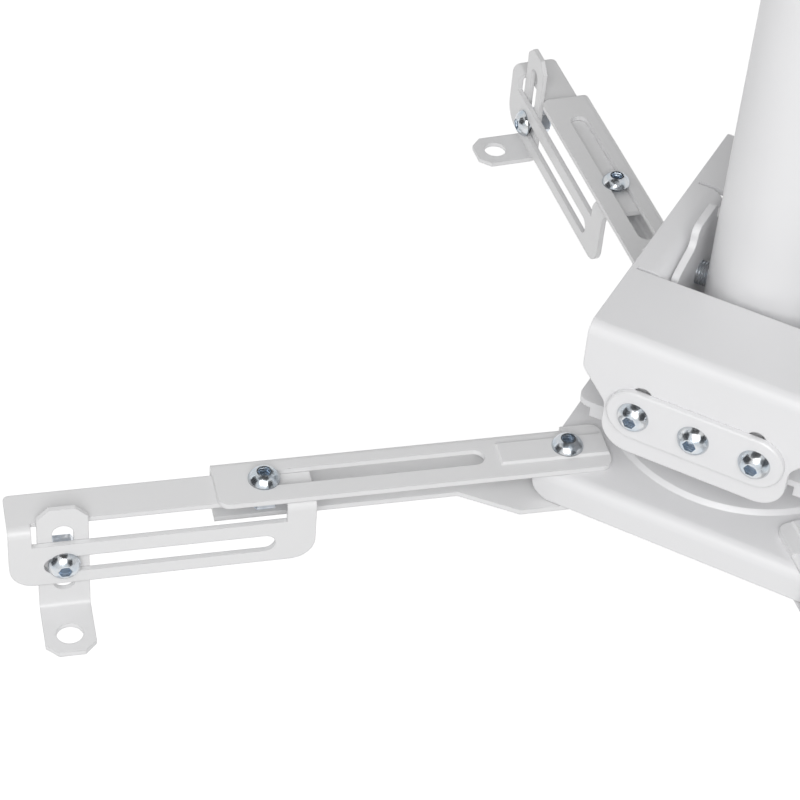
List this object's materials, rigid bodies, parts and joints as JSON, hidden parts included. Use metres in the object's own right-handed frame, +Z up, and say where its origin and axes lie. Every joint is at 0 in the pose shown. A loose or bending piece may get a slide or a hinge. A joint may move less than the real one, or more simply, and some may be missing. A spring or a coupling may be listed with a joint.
{
  "type": "projector ceiling mount",
  "caption": "White steel ceiling mount for a projector: a pole under a ceiling plate, two tilting brackets, a swivel hub and four sliding arms with height-adjustable feet.",
  "frame": {"origin": "centre of the ceiling plate's upper face, in the middle of its four slotted holes", "axes": "+Z up towards the ceiling, X along the tilt straps, Y across them"},
  "size_m": [0.3593, 0.3524, 0.2873],
  "materials": {
    "white_steel": "white powder coat",
    "zinc_steel": "bright zinc plate"
  },
  "bodies": {
    "pole": {"ceiling_plate": "white_steel", "ceiling_collar": "white_steel", "collar_bolts": "zinc_steel", "pole": "white_steel", "pole_foot": "white_steel", "tilt_bolt": "zinc_steel", "tilt_nut": "zinc_steel"},
    "upper_bracket": {"upper_bracket": "white_steel"},
    "lower_bracket": {"lower_bracket": "white_steel", "front_strap": "white_steel", "rear_strap": "white_steel", "strap_bolts": "zinc_steel", "strap_nuts": "zinc_steel", "swivel_spacer": "white_steel", "swivel_bolt": "zinc_steel", "swivel_nut": "zinc_steel"},
    "hub": {"hub_plate": "white_steel"},
    "inner_arm_1": {"inner_arm_1": "white_steel", "hub_bolt_1": "zinc_steel", "hub_nut_1": "zinc_steel"},
    "outer_arm_1": {"outer_arm_1": "white_steel", "slide_bolt_1": "zinc_steel", "slide_nut_1": "zinc_steel"},
    "foot_clamp_1": {"foot_bolt_1": "zinc_steel", "foot_nut_1": "zinc_steel"},
    "foot_1": {"foot_1": "white_steel"},
    "inner_arm_2": {"inner_arm_2": "white_steel", "hub_bolt_2": "zinc_steel", "hub_nut_2": "zinc_steel"},
    "outer_arm_2": {"outer_arm_2": "white_steel", "slide_bolt_2": "zinc_steel", "slide_nut_2": "zinc_steel"},
    "foot_clamp_2": {"foot_bolt_2": "zinc_steel", "foot_nut_2": "zinc_steel"},
    "foot_2": {"foot_2": "white_steel"},
    "inner_arm_3": {"inner_arm_3": "white_steel", "hub_bolt_3": "zinc_steel", "hub_nut_3": "zinc_steel"},
    "outer_arm_3": {"outer_arm_3": "white_steel", "slide_bolt_3": "zinc_steel", "slide_nut_3": "zinc_steel"},
    "foot_clamp_3": {"foot_bolt_3": "zinc_steel", "foot_nut_3": "zinc_steel"},
    "foot_3": {"foot_3": "white_steel"},
    "inner_arm_4": {"inner_arm_4": "white_steel", "hub_bolt_4": "zinc_steel", "hub_nut_4": "zinc_steel"},
    "outer_arm_4": {"outer_arm_4": "white_steel", "slide_bolt_4": "zinc_steel", "slide_nut_4": "zinc_steel"},
    "foot_clamp_4": {"foot_bolt_4": "zinc_steel", "foot_nut_4": "zinc_steel"},
    "foot_4": {"foot_4": "white_steel"}
  },
  "joints": [
    {"name": "pole_tilt", "type": "hinge", "parent": "pole", "child": "upper_bracket", "pos_m": [0, 0, -0.197], "axis": [1, 0, 0], "range_deg": [-12, 12]},
    {"name": "strap_tilt", "type": "hinge", "parent": "upper_bracket", "child": "lower_bracket", "pos_m": [0, 0, -0.2106], "axis": [0, 1, 0], "range_deg": [-15, 15]},
    {"name": "swivel", "type": "hinge", "parent": "lower_bracket", "child": "hub", "pos_m": [0, 0, -0.249], "axis": [0, 0, 1], "continuous": true},
    {"name": "arm_swing_1", "type": "hinge", "parent": "hub", "child": "inner_arm_1", "pos_m": [-0.0447, -0.048, -0.249], "axis": [0, 0, 1], "range_deg": [-35, 35]},
    {"name": "arm_slide_1", "type": "slide", "parent": "inner_arm_1", "child": "outer_arm_1", "axis": [-0.7727, -0.6347, 0], "range_m": [-0.041, 0]},
    {"name": "foot_slide_1", "type": "slide", "parent": "outer_arm_1", "child": "foot_clamp_1", "axis": [-0.7727, -0.6347, 0], "range_m": [-0.041, 0.0012]},
    {"name": "foot_height_1", "type": "slide", "parent": "foot_clamp_1", "child": "foot_1", "axis": [0, 0, 1], "range_m": [-0.012, 0.009]},
    {"name": "arm_swing_2", "type": "hinge", "parent": "hub", "child": "inner_arm_2", "pos_m": [-0.0447, 0.048, -0.249], "axis": [0, 0, 1], "range_deg": [-35, 35]},
    {"name": "arm_slide_2", "type": "slide", "parent": "inner_arm_2", "child": "outer_arm_2", "axis": [-0.7034, 0.7108, 0], "range_m": [-0.0022, 0.0388]},
    {"name": "foot_slide_2", "type": "slide", "parent": "outer_arm_2", "child": "foot_clamp_2", "axis": [-0.7034, 0.7108, 0], "range_m": [-0.0022, 0.0012]},
    {"name": "foot_height_2", "type": "slide", "parent": "foot_clamp_2", "child": "foot_2", "axis": [0, 0, 1], "range_m": [-0.021, 0]},
    {"name": "arm_swing_3", "type": "hinge", "parent": "hub", "child": "inner_arm_3", "pos_m": [0.0447, -0.048, -0.249], "axis": [0, 0, 1], "range_deg": [-35, 35]},
    {"name": "arm_slide_3", "type": "slide", "parent": "inner_arm_3", "child": "outer_arm_3", "axis": [0.6947, -0.7193, 0], "range_m": [-0.0184, 0.017]},
    {"name": "foot_slide_3", "type": "slide", "parent": "outer_arm_3", "child": "foot_clamp_3", "axis": [0.6947, -0.7193, 0], "range_m": [-0.0184, 0.0068]},
    {"name": "foot_height_3", "type": "slide", "parent": "foot_clamp_3", "child": "foot_3", "axis": [0, 0, 1], "range_m": [-0.012, 0.009]},
    {"name": "arm_swing_4", "type": "hinge", "parent": "hub", "child": "inner_arm_4", "pos_m": [0.0447, 0.048, -0.249], "axis": [0, 0, 1], "range_deg": [-35, 35]},
    {"name": "arm_slide_4", "type": "slide", "parent": "inner_arm_4", "child": "outer_arm_4", "axis": [0.7193, 0.6947, 0], "range_m": [-0.0184, 0.017]},
    {"name": "foot_slide_4", "type": "slide", "parent": "outer_arm_4", "child": "foot_clamp_4", "axis": [0.7193, 0.6947, 0], "range_m": [-0.0184, 0.0068]},
    {"name": "foot_height_4", "type": "slide", "parent": "foot_clamp_4", "child": "foot_4", "axis": [0, 0, 1], "range_m": [-0.012, 0.009]}
  ]
}
